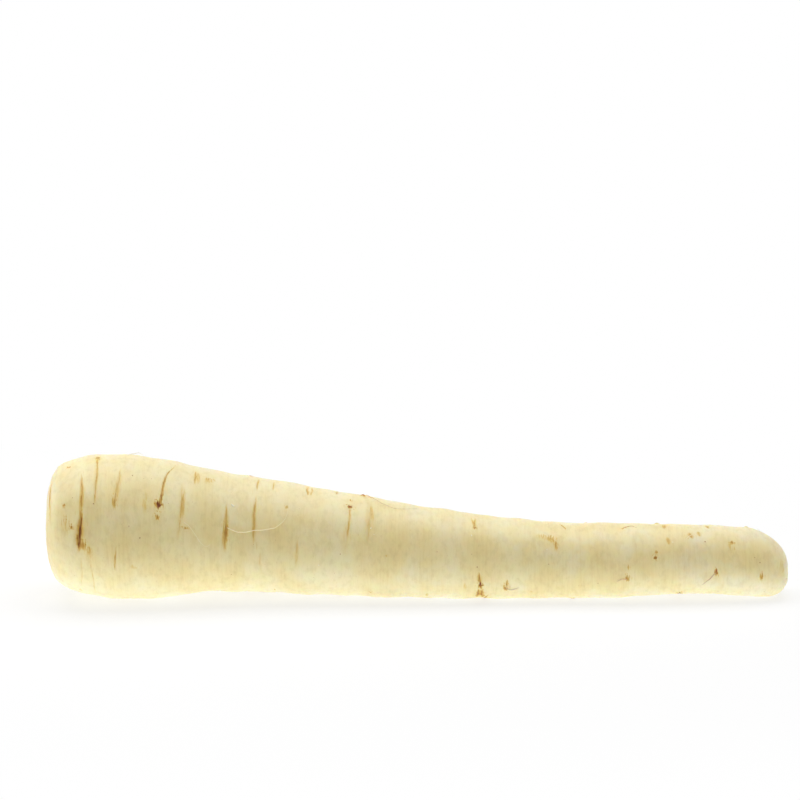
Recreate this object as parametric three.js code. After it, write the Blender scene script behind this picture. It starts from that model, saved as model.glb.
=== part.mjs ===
// A trimmed parsnip root lying on its side, as one solid. Millimetres, +Z up.
//
// The root runs along X, with its crown at -X and its cut tip at +X. The origin is on the surface that it
// lies on, under the middle of its box. Angles go round the root from the top, towards -Y.
import * as THREE from "three";
import { mergeVertices } from "three/addons/utils/BufferGeometryUtils.js";

// ---- Driving dimensions ----
const ROOT_LENGTH = 220; // from the crown's rim to the cut tip
const CROWN_RIM_RADIUS = 9.5; // where the rounded shoulder turns into the crown's hollow
const TIP_CUT_RADIUS = 3; // the small face where the thin end was cut off
const SHOULDER_REACH = 6.5; // how far the crown's edge is rounded over
const SHOULDER_SHARPNESS = 2.8; // 2 is a round edge, more is squarer
const TIP_REACH = 17;
const TIP_SHARPNESS = 2.6;
const AXIS_SHARE = 0.6; // nearer to the middle than this share of the radius, the swellings fade out

// ---- The mesh ----
const SECTION_SIDES = 52;
const CROWN_STEP = 1.5; // spacing of the rings of vertices, along the outline
const BODY_STEP = 2.9;
const TIP_STEP = 1.7;
const CROWN_END = 16; // where the crown's close rings end
const GUIDE_POINTS = 24; // points that guide the curve of each rounded end
const GUIDE_CROWDING = 2.5; // how much they crowd towards the steep end of it

const SKIN_COLOUR = 0xeee0b2;

// The root's taper: distance from the crown's rim, radius before the ends are rounded, and height of the
// middle of the section above the surface. Where the radius is more than the height, round 30 and 140, the
// underside is pressed flat on the surface. It is lifted a little at the waist and near the tip.
const TAPER = [
  { along: 0, radius: 17.0, height: 22.1 },
  { along: 4, radius: 17.85, height: 22.1 },
  { along: 8, radius: 19.25, height: 22.0 },
  { along: 13, radius: 20.6, height: 21.8 },
  { along: 21, radius: 21.3, height: 21.2 },
  { along: 31, radius: 20.7, height: 20.6 },
  { along: 37, radius: 20.1, height: 20.2 },
  { along: 43, radius: 18.9, height: 20.0 },
  { along: 49, radius: 17.9, height: 19.6 },
  { along: 56, radius: 17.4, height: 18.75 },
  { along: 75, radius: 16.3, height: 16.9 },
  { along: 105, radius: 14.2, height: 14.05 },
  { along: 120, radius: 13.1, height: 12.85 },
  { along: 135, radius: 12.25, height: 11.9 },
  { along: 150, radius: 11.45, height: 11.2 },
  { along: 165, radius: 11.2, height: 11.15 },
  { along: 179, radius: 10.75, height: 11.5 },
  { along: 191, radius: 10.3, height: 11.5 },
  { along: 204, radius: 10.25, height: 10.6 },
  { along: 213, radius: 10.5, height: 9.2 },
  { along: ROOT_LENGTH, radius: 11.0, height: 7.1 },
];

// The crown from its middle outwards: the trimmed stub of the leaf stalks, the groove round it and the
// hollow's wall. Each point is a depth behind the rim and a radius.
const CROWN_HOLLOW = [
  { depth: 2.1, radius: 0 },
  { depth: 2.1, radius: 2.4 },
  { depth: 2.3, radius: 4.6 },
  { depth: 3.6, radius: 5.5 },
  { depth: 4.5, radius: 6.2 },
  { depth: 3.2, radius: 7.3 },
  { depth: 1.0, radius: 8.5 },
];

// ---- The form ----

// Reads one column of TAPER at a distance along the root, as a smooth curve that doesn't overshoot.
function taper(along, column) {
  const last = TAPER.length - 2;
  const passed = TAPER.filter((row) => row.along <= along).length - 1;
  const i = THREE.MathUtils.clamp(passed, 0, last);
  const slopeOf = (k) => {
    const row = TAPER[k];
    const next = TAPER[k + 1];
    return (next[column] - row[column]) / (next.along - row.along);
  };
  const tangentAt = (k) => {
    if (k === 0 || k > last) return slopeOf(Math.min(k, last));
    const before = slopeOf(k - 1);
    const after = slopeOf(k);
    return before * after > 0 ? (2 * before * after) / (before + after) : 0;
  };
  const span = TAPER[i + 1].along - TAPER[i].along;
  const t = (along - TAPER[i].along) / span;
  return (
    (1 + 2 * t) * (1 - t) ** 2 * TAPER[i][column] +
    t * (1 - t) ** 2 * span * tangentAt(i) +
    t * t * (3 - 2 * t) * TAPER[i + 1][column] +
    t * t * (t - 1) * span * tangentAt(i + 1)
  );
}

// 1 along the body, falling to 0 at an end as a superellipse does.
function roundedEnd(distance, reach, sharpness) {
  const t = THREE.MathUtils.clamp(1 - distance / reach, 0, 1);
  return (1 - t ** sharpness) ** (1 / sharpness);
}

function outlineRadius(along) {
  const crown = roundedEnd(along, SHOULDER_REACH, SHOULDER_SHARPNESS);
  const tip = roundedEnd(ROOT_LENGTH - along, TIP_REACH, TIP_SHARPNESS);
  return taper(along, "radius") * crown * tip;
}

// The distance, going in from an end, at which the rounded outline reaches a radius.
function whereRadiusIs(radius, from, towards) {
  let near = from;
  let far = towards;
  for (let i = 0; i < 40; i++) {
    const middle = (near + far) / 2;
    if (outlineRadius(middle) < radius) near = middle;
    else far = middle;
  }
  return (near + far) / 2;
}

// How far the root's middle line wanders to the side.
function sway(along) {
  return 1.3 * Math.sin((2 * Math.PI * (along - 20)) / 190) - 0.5 * Math.sin((2 * Math.PI * along) / 83);
}

// The radius's share at an angle round the section: slightly oval and lobed, and turning along the root.
function lobes(along, angle) {
  const oval = 0.01 * Math.cos(2 * angle + 0.021 * along + 0.7);
  const lobed = 0.008 * Math.cos(3 * angle - 0.034 * along + 1.9);
  return 1 + oval + lobed;
}

// Low swellings that go part of the way round, in millimetres.
function swelling(along, angle) {
  const broad = 0.09 * Math.sin((2 * Math.PI * along) / 23 + 1.1 * Math.sin(angle + 0.6));
  const narrow = 0.1 * Math.sin((2 * Math.PI * along) / 11.5 + 1.7 * Math.sin(angle - 1.3) + 2);
  return broad + narrow;
}

// ---- The solid ----

// Points at even steps along a curve through the given points.
function evenSteps(points, step) {
  const curve = new THREE.SplineCurve(points);
  return curve.getSpacedPoints(Math.round(curve.getLength() / step));
}

// The half outline from the middle of the crown to the middle of the tip, as (radius, along).
function outline() {
  const rim = whereRadiusIs(CROWN_RIM_RADIUS, 0, SHOULDER_REACH);
  const cut = whereRadiusIs(TIP_CUT_RADIUS, ROOT_LENGTH, ROOT_LENGTH - TIP_REACH);
  const tipStart = ROOT_LENGTH - TIP_REACH;
  const hollow = CROWN_HOLLOW.map((p) => new THREE.Vector2(p.radius, rim + p.depth));
  const stretch = (from, to, count) =>
    Array.from({ length: count + 1 }, (_, i) => {
      const share = i / count;
      const along = THREE.MathUtils.lerp(from, to, share);
      return new THREE.Vector2(outlineRadius(along), along);
    });
  // The rounded ends are steep at first, so their points crowd towards the rim and the cut.
  const eased = (from, to, count) =>
    Array.from({ length: count + 1 }, (_, i) => {
      const along = THREE.MathUtils.lerp(from, to, (i / count) ** GUIDE_CROWDING);
      return new THREE.Vector2(outlineRadius(along), along);
    });
  const crown = evenSteps([...hollow, ...eased(rim, CROWN_END, GUIDE_POINTS)], CROWN_STEP);
  const body = evenSteps(stretch(CROWN_END, tipStart, 80), BODY_STEP);
  const tip = evenSteps(eased(cut, tipStart, GUIDE_POINTS).reverse(), TIP_STEP);
  const middle = new THREE.Vector2(0, cut);
  return [...crown, ...body.slice(1), ...tip.slice(1), middle];
}

// Bends a lathe's straight, round vertices to the root's own form.
function shape(position) {
  for (let i = 0; i < position.count; i++) {
    const across = position.getX(i);
    const up = position.getZ(i);
    const along = position.getY(i);
    const angle = Math.atan2(across, up);
    const radius = Math.hypot(across, up);
    const share = Math.min(1, radius / (AXIS_SHARE * taper(along, "radius")));
    const grown = radius * lobes(along, angle) + swelling(along, angle) * share ** 2;
    const height = taper(along, "height") + grown * Math.cos(angle);
    position.setXYZ(i, along - ROOT_LENGTH / 2, sway(along) - grown * Math.sin(angle), Math.max(0, height));
  }
}

// The faces with three different corners; a lathe's poles leave some that have only two.
function wholeFaces(index) {
  const kept = [];
  for (let i = 0; i < index.length; i += 3) {
    const [a, b, c] = index.slice(i, i + 3);
    if (a !== b && b !== c && c !== a) kept.push(a, b, c);
  }
  return kept;
}

function rootGeometry() {
  const lathe = new THREE.LatheGeometry(outline(), SECTION_SIDES);
  lathe.deleteAttribute("normal");
  lathe.deleteAttribute("uv");
  const geometry = mergeVertices(lathe);
  geometry.setIndex(wholeFaces(Array.from(geometry.index.array)));
  shape(geometry.attributes.position);
  geometry.computeBoundingBox();
  const centre = geometry.boundingBox.getCenter(new THREE.Vector3());
  geometry.translate(-centre.x, -centre.y, 0);
  geometry.computeVertexNormals();
  return geometry;
}

function parsnip() {
  const skin = new THREE.MeshStandardMaterial({ color: SKIN_COLOUR, roughness: 0.5, metalness: 0 });
  const mesh = new THREE.Mesh(rootGeometry(), skin);
  mesh.name = "parsnip";
  return mesh;
}

const part = new THREE.Group();
part.add(parsnip());

export default part;
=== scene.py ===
"""A washed and trimmed parsnip root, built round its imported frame. Blender 4.5, metres, +Z up.

The root lies along X with its crown at -X. Its form is worked out in millimetres in two coordinates: how far
along the root a place is, from the crown's rim, and its angle round the section, from the top towards -Y.
Near the ends a third one is used, the run: how far a place is from the crown's middle along the outline.
"""
import math
from dataclasses import dataclass

import bpy
import numpy as np
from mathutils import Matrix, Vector


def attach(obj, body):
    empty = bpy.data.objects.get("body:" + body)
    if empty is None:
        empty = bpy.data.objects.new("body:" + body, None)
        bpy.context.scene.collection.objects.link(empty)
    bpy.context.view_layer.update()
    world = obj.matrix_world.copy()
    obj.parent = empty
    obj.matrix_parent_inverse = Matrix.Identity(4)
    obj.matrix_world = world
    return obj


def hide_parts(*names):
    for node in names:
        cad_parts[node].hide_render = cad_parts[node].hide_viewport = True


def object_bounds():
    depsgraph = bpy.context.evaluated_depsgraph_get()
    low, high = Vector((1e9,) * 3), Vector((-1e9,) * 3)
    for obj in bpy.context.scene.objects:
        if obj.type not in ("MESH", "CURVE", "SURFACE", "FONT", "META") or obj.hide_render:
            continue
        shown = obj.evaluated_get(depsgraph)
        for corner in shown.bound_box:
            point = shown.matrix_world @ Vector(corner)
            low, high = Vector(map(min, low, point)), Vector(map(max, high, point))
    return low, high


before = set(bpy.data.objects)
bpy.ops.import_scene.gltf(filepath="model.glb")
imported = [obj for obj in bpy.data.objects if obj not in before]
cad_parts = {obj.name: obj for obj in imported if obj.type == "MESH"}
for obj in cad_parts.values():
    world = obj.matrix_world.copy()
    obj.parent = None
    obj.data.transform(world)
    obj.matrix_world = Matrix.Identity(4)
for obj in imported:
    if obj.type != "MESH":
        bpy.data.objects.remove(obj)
cad_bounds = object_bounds()

MM = 0.001
TURN = 2 * math.pi

# ---- The root's form, in the CAD's own sizes (mm) ----
ROOT_LENGTH = 220
CROWN_RIM_RADIUS = 9.5
TIP_CUT_RADIUS = 3
SHOULDER_REACH, SHOULDER_SHARPNESS = 6.5, 2.8
TIP_REACH, TIP_SHARPNESS = 17, 2.6
AXIS_SHARE = 0.6  # nearer to the middle than this share of the radius, the swellings fade out

# Distance from the crown's rim, radius before the ends are rounded, height of the section's middle.
TAPER = np.array([
    (0, 17.0, 22.1), (4, 17.85, 22.1), (8, 19.25, 22.0), (13, 20.6, 21.8), (21, 21.3, 21.2),
    (31, 20.7, 20.6), (37, 20.1, 20.2), (43, 18.9, 20.0), (49, 17.9, 19.6), (56, 17.4, 18.75),
    (75, 16.3, 16.9), (105, 14.2, 14.05), (120, 13.1, 12.85), (135, 12.25, 11.9), (150, 11.45, 11.2),
    (165, 11.2, 11.15), (179, 10.75, 11.5), (191, 10.3, 11.5), (204, 10.25, 10.6), (213, 10.5, 9.2),
    (ROOT_LENGTH, 11.0, 7.1),
])
RADIUS, HEIGHT = 1, 2  # columns of TAPER
# Radius and depth below the rim: stub of the leaf stalks, the groove round it, the hollow's wall, the rim.
CROWN_HOLLOW = [(0, 2.1), (2.4, 2.1), (4.6, 2.3), (5.5, 3.6), (6.2, 4.5), (7.3, 3.2), (8.5, 1.0),
                (CROWN_RIM_RADIUS, 0)]

# ---- The skin's mesh ----
RINGS, COLUMNS = 560, 176
# How much closer the rings are at the middle of each end, and how far out from there in mm.
CROWN_DENSITY, CROWN_SPREAD = 0.9, 16
TIP_DENSITY, TIP_SPREAD = 0.4, 8
HOLLOW_STEPS, SIDE_STEPS, CUT_STEPS = 400, 4000, 20  # points of the outline that the rings are spaced along
MARGIN = 0.4  # how near to the solid's box the skin is pressed in softly, in mm
ROOM = 0.45  # what the middle of a strand keeps clear of that box, in mm
END_STRETCH = 60  # how far from an end the materials are told the distance to it, in mm
BAKE_UV = "OFBake"

# ---- Relief by lot ----
LATTICE_ROWS = 997
# Each layer: height in mm, length of its cells along the root in mm, number of cells round it, seed.
LUMPS = [(0.14, 9, 7, 11), (0.08, 4, 14, 12), (0.035, 2.1, 24, 16), (0.016, 1.2, 40, 17)]
WRINKLES = [(0.045, 1.9, 9, 13), (0.018, 1.1, 17, 14)]
WRINKLED, WRINKLED_PLACES = 0.42, [(0.5, 17, 4, 15)]  # how strong the wrinkles are, and how that varies
STUB_DENTS = [(0.3, 1.2, 5, 32)]
STUB_THREADS = [(0.28, 1.5, 44, 33), (0.2, 2.5, 19, 34)]
SHOULDER_CREASES = [(0.1, 1.3, 8, 37), (0.07, 0.8, 13, 38)]
SHOULDER_PLEATS = [(0.1, 6, 40, 39)]
TIP_GRAIN = [(0.16, 1.2, 5, 41), (0.09, 0.7, 24, 44)]
# The torn steps of the hollow's wall, in mm, and how ragged they are in steps.
TERRACE_WIDTH, TERRACE_HEIGHT, TERRACE_EDGES = 1.7, 0.42, [(0.3, 6, 11, 35), (0.18, 3, 31, 36)]


# ---- Marks of the skin ----
LAYERS = {"slit": 4, "spot": 3}  # marks of one kind that lie close together go to different layers
MARK_FIELDS = ("across", "round", "dark", "amber")  # what each layer tells the skin's material
MARK_WINDOW = 4.2  # how many half widths from its middle a mark still stains the skin


@dataclass
class Slit:
    """A crease that goes part of the way round. Millimetres; angle and reach in degrees; lean in mm a radian,
    bend in mm a radian squared. Heavy is how much wider and darker it is at its lower end."""
    along: float
    angle: float
    reach: float
    width: float
    depth: float
    lean: float
    dark: float
    amber: float
    bend: float = 0.0
    heavy: float = 0.0
    kind = "slit"

    def coordinates(self, along, angle, girth):
        """Where each place is in the slit's own ellipse: across it and along it, 1 at its edge."""
        off = nearest_turn(angle - math.radians(self.angle))
        seed = int(self.along * 7 + abs(self.angle))
        middle = self.along + self.lean * off + self.bend * off ** 2
        middle = middle + 0.3 * wander(off * 3, seed) + 0.12 * wander(off * 11, seed + 1)
        round_it = off / math.radians(self.reach)
        width = self.width * (1 + self.heavy * np.clip(round_it, -1, 1))
        return (along - middle) / width, round_it

    def relief(self, across, round_it, distance):
        """A groove between two low lips."""
        groove = np.exp(-distance ** 2) * np.clip(1.2 - round_it ** 2, 0, 1)
        lips = np.exp(-(across / 2.6) ** 2) * np.clip(1 - round_it ** 2, 0, 1)
        return self.depth * (0.5 * lips - 1.5 * groove)

    def reached(self, across, round_it, distance):
        """How far from its middle a place is, in the half widths that MARK_WINDOW counts."""
        return np.maximum(np.abs(across), 3.2 * np.abs(round_it))

    def darkness(self, round_it):
        return self.dark * np.clip(1 + self.heavy * round_it, 0.2, 1)


@dataclass
class Spot:
    """A root scar, a speck or a stain, with its half length along the root and its half breadth round it."""
    along: float
    angle: float
    length: float
    breadth: float
    rise: float
    dark: float
    amber: float
    kind = "spot"

    def coordinates(self, along, angle, girth):
        """Where each place is in the spot's own ellipse: along the root and round it, 1 at its edge."""
        off = nearest_turn(angle - math.radians(self.angle)) * girth
        return (along - self.along) / self.length, off / self.breadth

    def relief(self, across, round_it, distance):
        """A knob or a dent with a low swelling round it."""
        return self.rise * np.exp(-distance ** 4) + 0.05 * np.exp(-(distance / 1.7) ** 2)

    def reached(self, across, round_it, distance):
        return 1.8 * distance

    def darkness(self, round_it):
        return self.dark


# The side towards -Y, from the crown to the tip.
SLITS = [
    Slit(11.8, 48, 23, 0.28, 0.12, 0.5, 0.15, 0.7, heavy=0.4),
    Slit(11.7, 81, 17, 0.6, 0.5, -2.1, 0.9, 0.68, heavy=0.25),
    Slit(11.3, 118, 21, 0.2, 0.1, -1.0, 0.1, 0.22),
    Slit(14.7, 124, 27, 0.2, 0.12, 0.4, 0.12, 0.26),
    Slit(15.6, 28, 35, 0.24, 0.2, 0.3, 0.22, 0.5, heavy=0.6),
    Slit(22.0, 40, 22, 0.42, 0.14, -2.1, 0, 0.5, heavy=0.3),
    Slit(21.5, 101, 11, 0.24, 0.16, -2.0, 0.55, 0.25, bend=3),
    Slit(35.9, 28, 27, 0.28, 0.3, -4.6, 0.5, 0.35, bend=2.5, heavy=0.6),
    Slit(40.4, 58, 34, 0.34, 0.16, -1.3, 0, 0.4),
    Slit(41.3, 50, 18, 0.24, 0.12, -1.2, 0, 0.32),
    Slit(44.2, 18, 13, 0.22, 0.1, 0, 0.14, 0.5),
    Slit(45.1, 18, 12, 0.22, 0.1, 0.6, 0.1, 0.45),
    Slit(53.6, 70, 28, 0.36, 0.22, -0.6, 0.03, 0.62, heavy=0.3),
    Slit(61.6, 60, 31, 0.3, 0.3, -0.9, 0.1, 0.55),
    Slit(62.6, 12, 15, 0.26, 0.25, -0.7, 0.14, 0.45),
    Slit(63.8, 103, 15, 0.24, 0.1, 0, 0, 0.3),
    Slit(67.0, 11, 13, 0.26, 0.2, 0, 0.1, 0.42),
    Slit(74.3, 90, 18, 0.26, 0.12, -0.8, 0, 0.4),
    Slit(77.4, 8, 14, 0.26, 0.35, -0.4, 0.14, 0.5),
    Slit(78.4, 8, 13, 0.22, 0.15, -0.4, 0.1, 0.45),
    Slit(86.1, -1, 9, 0.45, 0.35, 0, 0.2, 0.35),
    Slit(89.5, 46, 22, 0.24, 0.14, -0.9, 0.12, 0.42),
    Slit(88.4, 72, 20, 0.6, 0.08, -1.2, 0, 0.28),
    Slit(95.6, 48, 30, 0.62, 0.2, -1.4, 0, 0.34),
    Slit(96.6, 30, 17, 0.24, 0.12, 1.2, 0, 0.3, bend=-2),
    Slit(126.0, 25, 17, 0.2, 0.12, 2.2, 0.04, 0.42),
    Slit(126.8, 23, 15, 0.2, 0.12, -0.7, 0.04, 0.4),
    Slit(128.0, 106, 11, 0.36, 0.2, 1.0, 0.55, 0.5, heavy=0.5),
    Slit(127.4, 140, 14, 0.28, 0.14, -2, 0.2, 0.8),
    Slit(129.0, 140, 15, 0.28, 0.14, 1.8, 0.15, 0.8),
    Slit(135.8, 113, 7, 0.24, 0.1, 0, 0.15, 0.5),
    Slit(141.3, 74, 22, 1.2, 0.1, 0.3, 0, 0.12),
    Slit(152.5, 13, 9, 0.28, 0.2, 5.0, 0.5, 0.35),
    Slit(159.0, 66, 18, 1.2, 0.08, 0, 0, 0.1),
    Slit(176.2, 88, 20, 1.1, 0.14, 0, 0, 0.18),
    Slit(182.3, 4, 11, 0.45, 0.4, 0, 0.35, 0.45),
    Slit(183.7, 44, 9, 0.3, 0.1, 2, 0, 0.6),
    Slit(190.2, 32, 9, 0.3, 0.1, 4, 0, 0.6),
    Slit(192.7, 28, 8, 0.28, 0.1, 2, 0, 0.6),
    Slit(195.7, 4, 9, 0.45, 0.35, 2, 0.35, 0.4),
]
SPOTS = [
    Spot(6.6, 58, 0.4, 0.45, 0.05, 0.35, 0.6),
    Spot(7.0, 68, 0.3, 0.4, 0, 0.08, 0.4),
    Spot(7.1, 77, 1.2, 1.9, 0, 0, 0.5),
    Spot(9.0, 77, 0.38, 0.38, 0.05, 0.45, 0.6),
    Spot(12.6, 93, 0.7, 1.1, 0, 0.05, 0.65),
    Spot(14.2, 97, 0.8, 1.3, 0, 0, 0.45),
    Spot(7.0, 12, 0.7, 0.4, -0.08, 0.3, 0.4),
    Spot(15.4, 2, 0.6, 0.6, 0.05, 0.12, 0.6),
    Spot(15.4, 7, 0.9, 1.7, 0.03, 0, 0.4),
    Spot(20.0, 7, 0.9, 0.9, 0, 0, 0.2),
    Spot(28.0, 8, 0.9, 0.5, 0, 0, 0.2),
    Spot(21.3, 56, 0.5, 1.5, 0.05, 0, 0.62),
    Spot(30.1, 57, 0.6, 1.7, 0, 0, 0.5),
    Spot(30.6, 47, 0.5, 1.0, 0, 0, 0.4),
    Spot(26.8, 108, 0.9, 0.55, 0, 0, 0.45),
    Spot(34.2, 55, 0.6, 1.0, -0.2, 1.0, 0.75),
    Spot(34.7, 50, 0.45, 1.4, -0.1, 0.35, 0.6),
    Spot(33.3, 54, 0.5, 0.5, 0.1, 0.25, 0.7),
    Spot(33.8, 65, 0.5, 0.8, 0.05, 0.35, 0.8),
    Spot(48.4, 20, 1.3, 0.8, 0, 0, 0.65),
    Spot(47.5, 24, 0.8, 0.5, 0, 0, 0.35),
    Spot(41.9, 74, 0.6, 0.35, 0.03, 0.03, 0.7),
    Spot(53.4, 79, 0.6, 2.4, -0.1, 0, 0.32),
    Spot(71.2, 42, 0.45, 0.55, 0.05, 0.12, 0.6),
    Spot(89.8, 29, 0.75, 0.5, 0.4, 0.8, 0.6),
    Spot(89.9, 17, 0.3, 0.45, 0.05, 0.2, 0.5),
    Spot(93.6, -1, 0.7, 0.6, 0.5, 1.0, 0.6),
    Spot(126.5, 36, 0.36, 0.38, 0.1, 0.3, 0.5),
    Spot(128.3, 120, 0.7, 0.95, -0.15, 0.65, 0.8),
    Spot(123.7, 122, 0.5, 1.2, 0, 0, 0.45),
    Spot(135.7, 123, 0.6, 1.0, 0.05, 0.25, 0.9),
    Spot(146.8, 41, 1.9, 0.8, 0.03, 0, 0.5),
    Spot(149.0, 44, 0.9, 0.9, 0.03, 0, 0.6),
    Spot(150.4, 53, 0.55, 1.6, -0.1, 0.06, 0.75),
    Spot(179.5, 72, 0.5, 0.48, -0.1, 0.75, 0.55),
    Spot(179.9, 64, 0.6, 0.35, 0, 0.2, 0.45),
    Spot(171.5, 104, 0.55, 0.85, 0.05, 0.2, 0.95),
    Spot(170.3, 17, 0.5, 0.45, 0.05, 0.1, 0.6),
    Spot(189.0, 35, 0.8, 0.9, 0, 0, 0.35),
    Spot(171.6, 86, 0.28, 0.6, 0, 0.2, 0.5),
    Spot(197.6, 97, 0.45, 0.9, -0.1, 0.36, 0.85),
    Spot(202.3, 52, 0.9, 1.6, 0, 0, 0.5),
    Spot(202.3, 43, 0.9, 0.25, 0.03, 0, 0.6),
    Spot(211.1, 97, 0.45, 1.3, 0, 0.12, 0.9),
    Spot(217.2, 76, 1.1, 2.2, 0, 0, 0.4),
    Spot(67.5, 143, 0.3, 0.4, 0.1, 0.25, 0.5),
    Spot(95.8, 138, 0.35, 0.4, 0.1, 0.3, 0.5),
    Spot(100.5, 83, 0.3, 0.3, 0, 0.2, 0.4),
    Spot(112.5, 142, 0.5, 0.7, 0.1, 0, 0.6),
    Spot(143.2, 130, 0.45, 0.6, 0, 0.03, 0.45),
]


@dataclass
class Rootlet:
    """A fine root left on the skin. Its path: places along the root, angles, lifts off the skin in mm."""
    path: list
    thickness: float
    brown: float


ROOTLETS = [
    Rootlet([(54.0, 71, 0.05), (56.8, 74, 0.25), (59.6, 73, 0.25), (62.5, 70, 0.2), (66.6, 68, 0.25),
             (69.5, 62, 0.25), (71.2, 53, 0.2), (71.7, 43, 0)], 0.2, -0.3),
    Rootlet([(41.6, 69, 0.1), (43.2, 73, 0.25), (45.2, 82, 0.3), (46.6, 88, 0.25), (48, 90.5, 0.2),
             (49.2, 88, 0.1)], 0.18, -0.25),
    Rootlet([(94.4, -10, 0.1), (96.4, 3, 0.35), (98.6, 12, 0.45), (100.6, 16.5, 0.45), (102.8, 19, 0.4),
             (105.4, 19, 0.45), (107.9, 15, 0.45), (110.2, 7, 0.3)], 0.14, 0.5),
    Rootlet([(22.9, -6, 0), (23.8, -9, 0.5), (25.1, -12, 0.95), (26.6, -16, 0.9), (28, -21, 0.4)], 0.2, -0.2),
    Rootlet([(170.2, 17, 0.05), (171.1, 13, 0.15), (172.7, 11, 0.2), (174.4, 16, 0.1)], 0.15, 0.9),
    Rootlet([(135.7, 123, 0), (137.3, 125, 0.4), (139.6, 121, 0.2)], 0.26, 0.4),
    Rootlet([(197.4, 98, 0), (195.6, 108, 0.4), (193.6, 121, 0.1)], 0.24, 0.55),
    Rootlet([(171.2, 106, 0), (169.9, 103, 0.4), (168.4, 108, 0.2)], 0.22, 0.55),
    Rootlet([(188.8, 40, 0), (190.4, 31, 0.4), (191.6, 36, 0.2)], 0.16, -0.1),
]
# Those by lot on the sides that the others leave bare: how many, and the angles between which they grow.
MORE_ROOTLETS = 16
TIP_ROOTLETS = 7
BARE_SIDES = (200, 345)

# Pale flakes where the outermost skin lifts: place along the root, angle and length in mm.
FLAKES = [(55.9, 48, 1.1), (57.1, 55, 0.3), (125.5, 47, 0.6), (95.9, 54, 0.55), (96.8, 60, 0.35),
          (80.5, 101, 0.4), (126.6, 41, 0.3), (147.9, 60, 0.4), (184.5, 47, 0.45)]
MORE_FLAKES = 26

# ---- The crown's remains of leaves ----
@dataclass
class Stalk:
    """A leaf stalk's stub, a crescent as the knife cut it. Millimetres; the middle and half the span are in
    degrees. Cut is how far below the crown's rim the knife went."""
    radius: float
    middle: float
    span: float
    thickness: float
    cut: float
    brown: float

    def midline(self, share):
        """The angle in degrees and the radius at a share from -1 to 1 along the crescent."""
        angle = self.middle + self.span * share
        turn = math.radians(angle)
        uneven = 1 + 0.07 * math.sin(2 * turn + 0.6) + 0.05 * math.sin(3 * turn + 1.7 * self.radius)
        return angle, self.radius * uneven * (1 - 0.07 * share ** 2)

    def thickness_at(self, share):
        """Its thickness in mm there, least at its two ends."""
        uneven = 1 + 0.12 * math.sin(7 * share + self.middle)
        return 0.1 + self.thickness * (1 - share * share) ** 0.5 * uneven


# From the heart outwards.
STALKS = [
    Stalk(0.45, 25, 105, 0.75, 0.9, 0.1), Stalk(0.9, 205, 100, 0.6, 1.05, 0.15),
    Stalk(1.65, 110, 96, 1.0, 1.1, 0.05), Stalk(1.75, 300, 88, 1.05, 1.3, 0.2),
    Stalk(2.75, 12, 86, 1.1, 1.2, 0.1), Stalk(2.85, 187, 92, 1.15, 1.05, 0.15),
    Stalk(3.9, 98, 66, 1.2, 1.35, 0.2), Stalk(4.0, 226, 60, 1.15, 1.2, 0.3),
    Stalk(3.9, 340, 54, 1.1, 1.5, 0.25), Stalk(5.0, 42, 46, 0.9, 1.9, 0.6),
    Stalk(5.05, 152, 42, 0.85, 2.3, 0.7), Stalk(4.95, 280, 48, 0.9, 2.0, 0.65),
]
STALK_FOOT = 4.4  # how deep below the rim the stubs start
STALK_STEPS, STALK_BREADTHS = 26, 4
# Dry, torn sheaths round the stub: run in mm, number, half span, height in mm, outward lean; both in degrees.
SHEATHS = [(5.7, 11, 17, 1.3, 8), (7.0, 13, 17, 2.4, 20), (8.3, 12, 18, 2.2, 32), (10.2, 15, 14, 1.3, 40)]
SHEATH_STEPS = 10
LOOSE_FIBRES = 46
FIBRE_SPACING = 0.85  # of the hard fibre ends along each stub, in mm

# The far side and the underside, where the marks are drawn by lot along the rows that rootlets grow in.
HIDDEN_ROWS = (170, 214, 246, 288, 330)
LEAF_SCARS = 11  # on the crown's shoulder


def hidden_marks():
    """Marks by lot: slits and spots on the hidden rows, and leaf scars all round the crown."""
    random = np.random.default_rng(8)
    marks = []
    for row in HIDDEN_ROWS:
        along = random.uniform(7, 18)
        while along < ROOT_LENGTH - 9:
            angle = row + random.normal(0, 9)
            dark = random.choice([0.0, 0.25, 0.85], p=[0.6, 0.26, 0.14])
            amber = random.uniform(0.25, 0.7)
            if random.random() < 0.6:
                reach, width = random.uniform(8, 32), random.uniform(0.22, 0.42)
                depth, lean = random.uniform(0.08, 0.32), random.normal(0, 1.8)
                marks.append(Slit(along, angle, reach, width, depth, lean, 0.6 * dark, amber,
                                  bend=random.normal(0, 2), heavy=random.uniform(-0.6, 0.6)))
            if random.random() < 0.5:
                length, breadth = random.uniform(0.35, 0.8), random.uniform(0.4, 1.4)
                marks.append(Spot(along, angle + random.uniform(-14, 14), length, breadth,
                                  random.choice([-0.15, 0.05, 0.4]), dark, amber))
            along += random.uniform(6, 26)
    for k in range(LEAF_SCARS):
        angle = 360 * (k + random.uniform(-0.4, 0.4)) / LEAF_SCARS
        along, reach, width = random.uniform(0.5, 2.4), random.uniform(10, 26), random.uniform(0.05, 0.1)
        marks.append(Slit(along, angle, reach, width, 0.12, random.normal(0, 0.3),
                          random.choice([0.0, 0.3, 0.6]), random.uniform(0.3, 0.7)))
    return marks


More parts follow.
